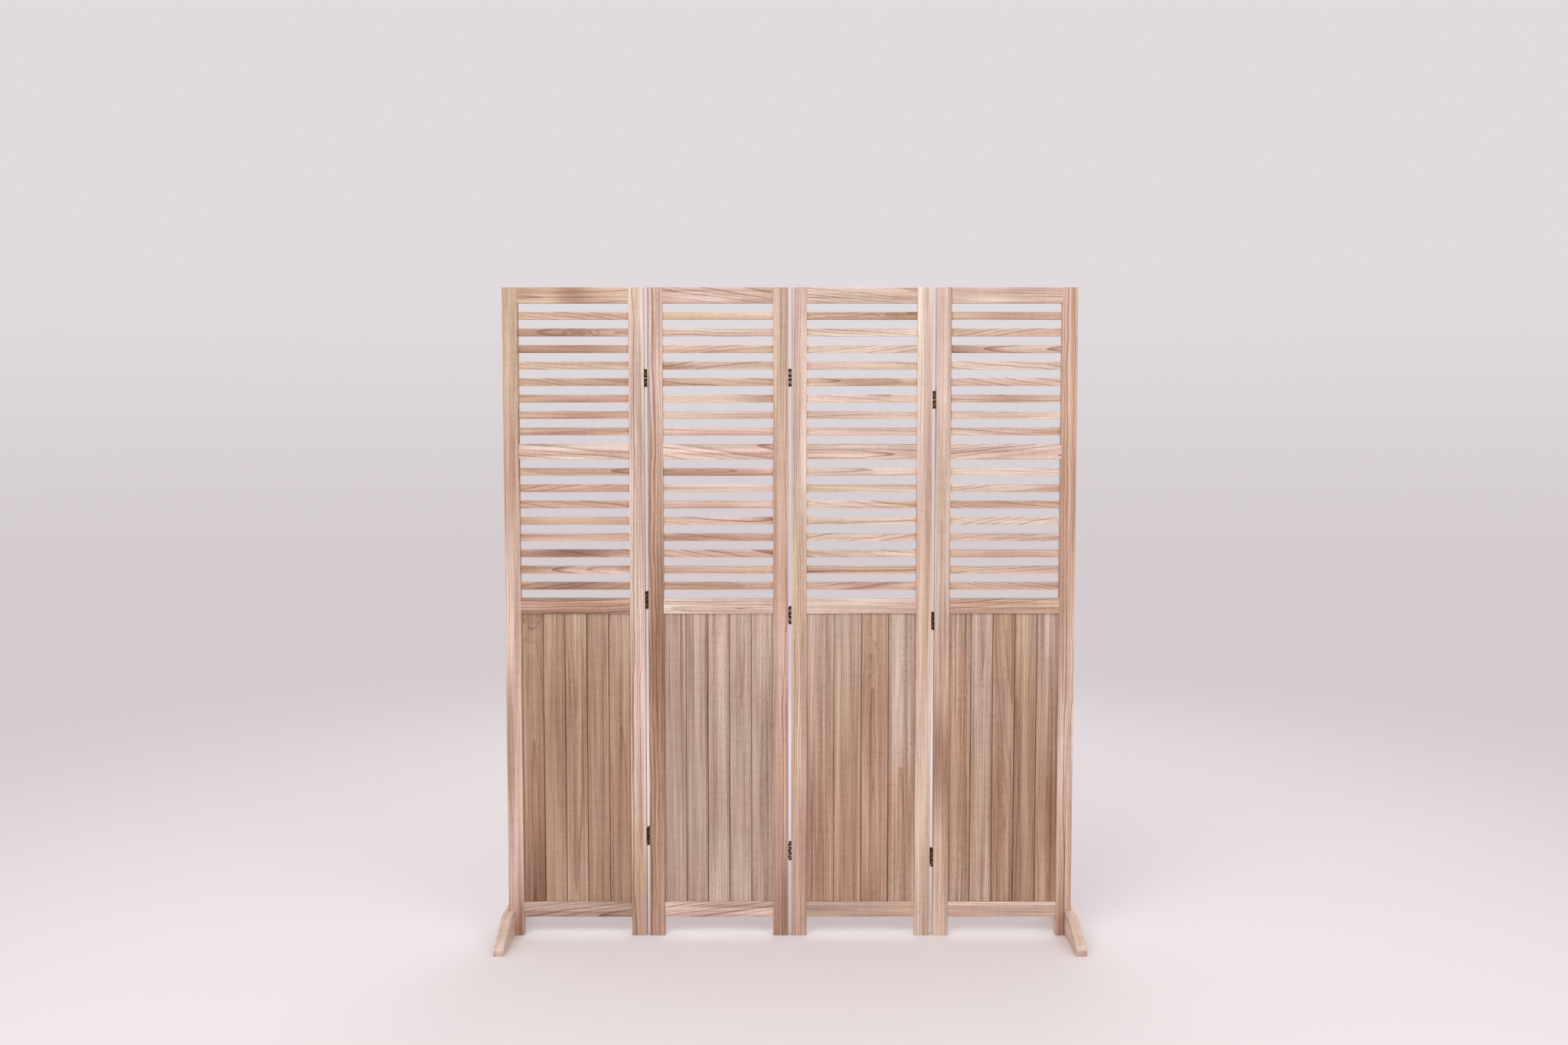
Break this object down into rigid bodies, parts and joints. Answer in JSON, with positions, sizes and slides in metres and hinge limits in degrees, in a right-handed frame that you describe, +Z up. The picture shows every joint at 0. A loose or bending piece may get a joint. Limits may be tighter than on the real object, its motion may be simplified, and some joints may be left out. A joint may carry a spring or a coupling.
{
  "type": "folding room divider screen",
  "caption": "Folding room divider of natural wood panels with open slatted bays above tongue-and-groove boards, double-action hinges and stabiliser feet.",
  "frame": {"origin": "on the floor, under the middle of the screen's width and thickness", "axes": "+Z up, +X to the right seen from the front, +Y to the back; the panels stand in the XZ plane"},
  "size_m": [1.506, 0.32, 1.7],
  "materials": {
    "frame_wood": "raw, sanded",
    "slat_wood": "raw, sanded",
    "board_wood": "raw, sanded, straight grain",
    "foot_wood": "raw, sanded",
    "dark_bronze": "dark bronze plating",
    "link_metal": "worn bronze plating, polished"
  },
  "bodies": {
    "panel_1": {"stile_left_1": "frame_wood", "stile_right_1": "frame_wood", "rail_top_1": "frame_wood", "rail_middle_1": "frame_wood", "rail_lock_1": "frame_wood", "rail_bottom_1": "frame_wood", "slats_upper_1": "slat_wood", "slats_lower_1": "slat_wood", "boards_1": "board_wood", "hinge_pins_1": "link_metal", "hinge_screws_1": "dark_bronze", "hinge_leaves_line_1_left": "dark_bronze", "foot_left": "foot_wood", "foot_screws_left": "dark_bronze"},
    "panel_2": {"stile_left_2": "frame_wood", "stile_right_2": "frame_wood", "rail_top_2": "frame_wood", "rail_middle_2": "frame_wood", "rail_lock_2": "frame_wood", "rail_bottom_2": "frame_wood", "slats_upper_2": "slat_wood", "slats_lower_2": "slat_wood", "boards_2": "board_wood", "hinge_pins_2": "link_metal", "hinge_screws_2": "dark_bronze", "hinge_leaves_line_1_right": "dark_bronze", "hinge_leaves_line_2_left": "dark_bronze"},
    "panel_3": {"stile_left_3": "frame_wood", "stile_right_3": "frame_wood", "rail_top_3": "frame_wood", "rail_middle_3": "frame_wood", "rail_lock_3": "frame_wood", "rail_bottom_3": "frame_wood", "slats_upper_3": "slat_wood", "slats_lower_3": "slat_wood", "boards_3": "board_wood", "hinge_pins_3": "link_metal", "hinge_screws_3": "dark_bronze", "hinge_leaves_line_2_right": "dark_bronze", "hinge_leaves_line_3_left": "dark_bronze"},
    "panel_4": {"stile_left_4": "frame_wood", "stile_right_4": "frame_wood", "rail_top_4": "frame_wood", "rail_middle_4": "frame_wood", "rail_lock_4": "frame_wood", "rail_bottom_4": "frame_wood", "slats_upper_4": "slat_wood", "slats_lower_4": "slat_wood", "boards_4": "board_wood", "hinge_pins_4": "link_metal", "hinge_screws_4": "dark_bronze", "hinge_leaves_line_3_right": "dark_bronze", "foot_right": "foot_wood", "foot_screws_right": "dark_bronze"},
    "links_upper_1": {"hinge_links_upper_line_1": "link_metal"},
    "links_lower_1": {"hinge_links_lower_line_1": "link_metal"},
    "links_upper_2": {"hinge_links_upper_line_2": "link_metal"},
    "links_lower_2": {"hinge_links_lower_line_2": "link_metal"},
    "links_upper_3": {"hinge_links_upper_line_3": "link_metal"},
    "links_lower_3": {"hinge_links_lower_line_3": "link_metal"}
  },
  "joints": [
    {"name": "line_2_fold_to_front", "type": "hinge", "parent": "links_upper_2", "child": "panel_2", "pos_m": [0, -0.0105, 0], "axis": [0, 0, -1], "range_deg": [-150, 0]},
    {"name": "line_2_fold_to_back", "type": "hinge", "parent": "links_upper_2", "child": "panel_3", "pos_m": [0, 0.0105, 0], "axis": [0, 0, 1], "range_deg": [0, 150]},
    {"name": "line_2_lower_links", "type": "hinge", "parent": "panel_2", "child": "links_lower_2", "pos_m": [0, 0.0105, 0], "axis": [0, 0, 1], "range_deg": [0, 150]},
    {"name": "line_1_fold_to_back", "type": "hinge", "parent": "panel_2", "child": "links_upper_1", "pos_m": [-0.373, 0.0105, 0], "axis": [0, 0, 1], "range_deg": [-150, 0]},
    {"name": "line_1_fold_to_front", "type": "hinge", "parent": "links_upper_1", "child": "panel_1", "pos_m": [-0.373, -0.0105, 0], "axis": [0, 0, 1], "range_deg": [0, 150]},
    {"name": "line_1_lower_links", "type": "hinge", "parent": "panel_2", "child": "links_lower_1", "pos_m": [-0.373, -0.0105, 0], "axis": [0, 0, 1], "range_deg": [0, 150]},
    {"name": "line_3_fold_to_front", "type": "hinge", "parent": "panel_3", "child": "links_upper_3", "pos_m": [0.373, -0.0105, 0], "axis": [0, 0, -1], "range_deg": [0, 150]},
    {"name": "line_3_fold_to_back", "type": "hinge", "parent": "links_upper_3", "child": "panel_4", "pos_m": [0.373, 0.0105, 0], "axis": [0, 0, -1], "range_deg": [-150, 0]},
    {"name": "line_3_lower_links", "type": "hinge", "parent": "panel_3", "child": "links_lower_3", "pos_m": [0.373, 0.0105, 0], "axis": [0, 0, -1], "range_deg": [-150, 0]}
  ],
  "couplings": [
    {"joint": "line_2_lower_links", "follows": "line_2_fold_to_back", "ratio": 1},
    {"joint": "line_1_lower_links", "follows": "line_1_fold_to_front", "ratio": 1},
    {"joint": "line_3_lower_links", "follows": "line_3_fold_to_back", "ratio": 1}
  ]
}
